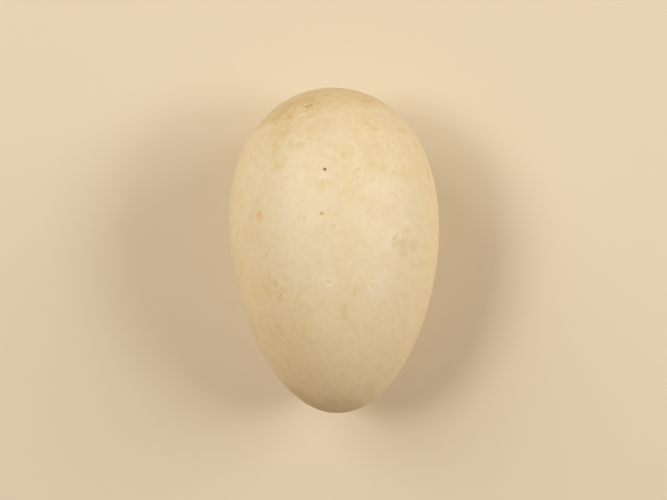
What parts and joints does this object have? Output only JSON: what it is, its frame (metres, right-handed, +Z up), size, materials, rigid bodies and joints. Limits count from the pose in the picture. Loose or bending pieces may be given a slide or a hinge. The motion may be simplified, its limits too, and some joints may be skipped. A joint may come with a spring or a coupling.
{
  "type": "bird egg",
  "caption": "Large cream-white bird egg, a long oval with one blunt and one narrower end and a faintly stained chalky shell, lying on its side on a small flat rest spot.",
  "frame": {"origin": "middle of the small flat spot that the egg rests on, straight below its centre of mass", "axes": "+Z up from the surface that it rests on; +Y towards the blunt end along the long axis, which rises 5.7 degrees towards that end; +X across the egg"},
  "size_m": [0.068, 0.1057, 0.0682],
  "materials": {
    "eggshell": "satin, slightly chalky, with faint ochre stains at the blunt end"
  },
  "bodies": {
    "root": {"egg": "eggshell"}
  },
  "joints": []
}
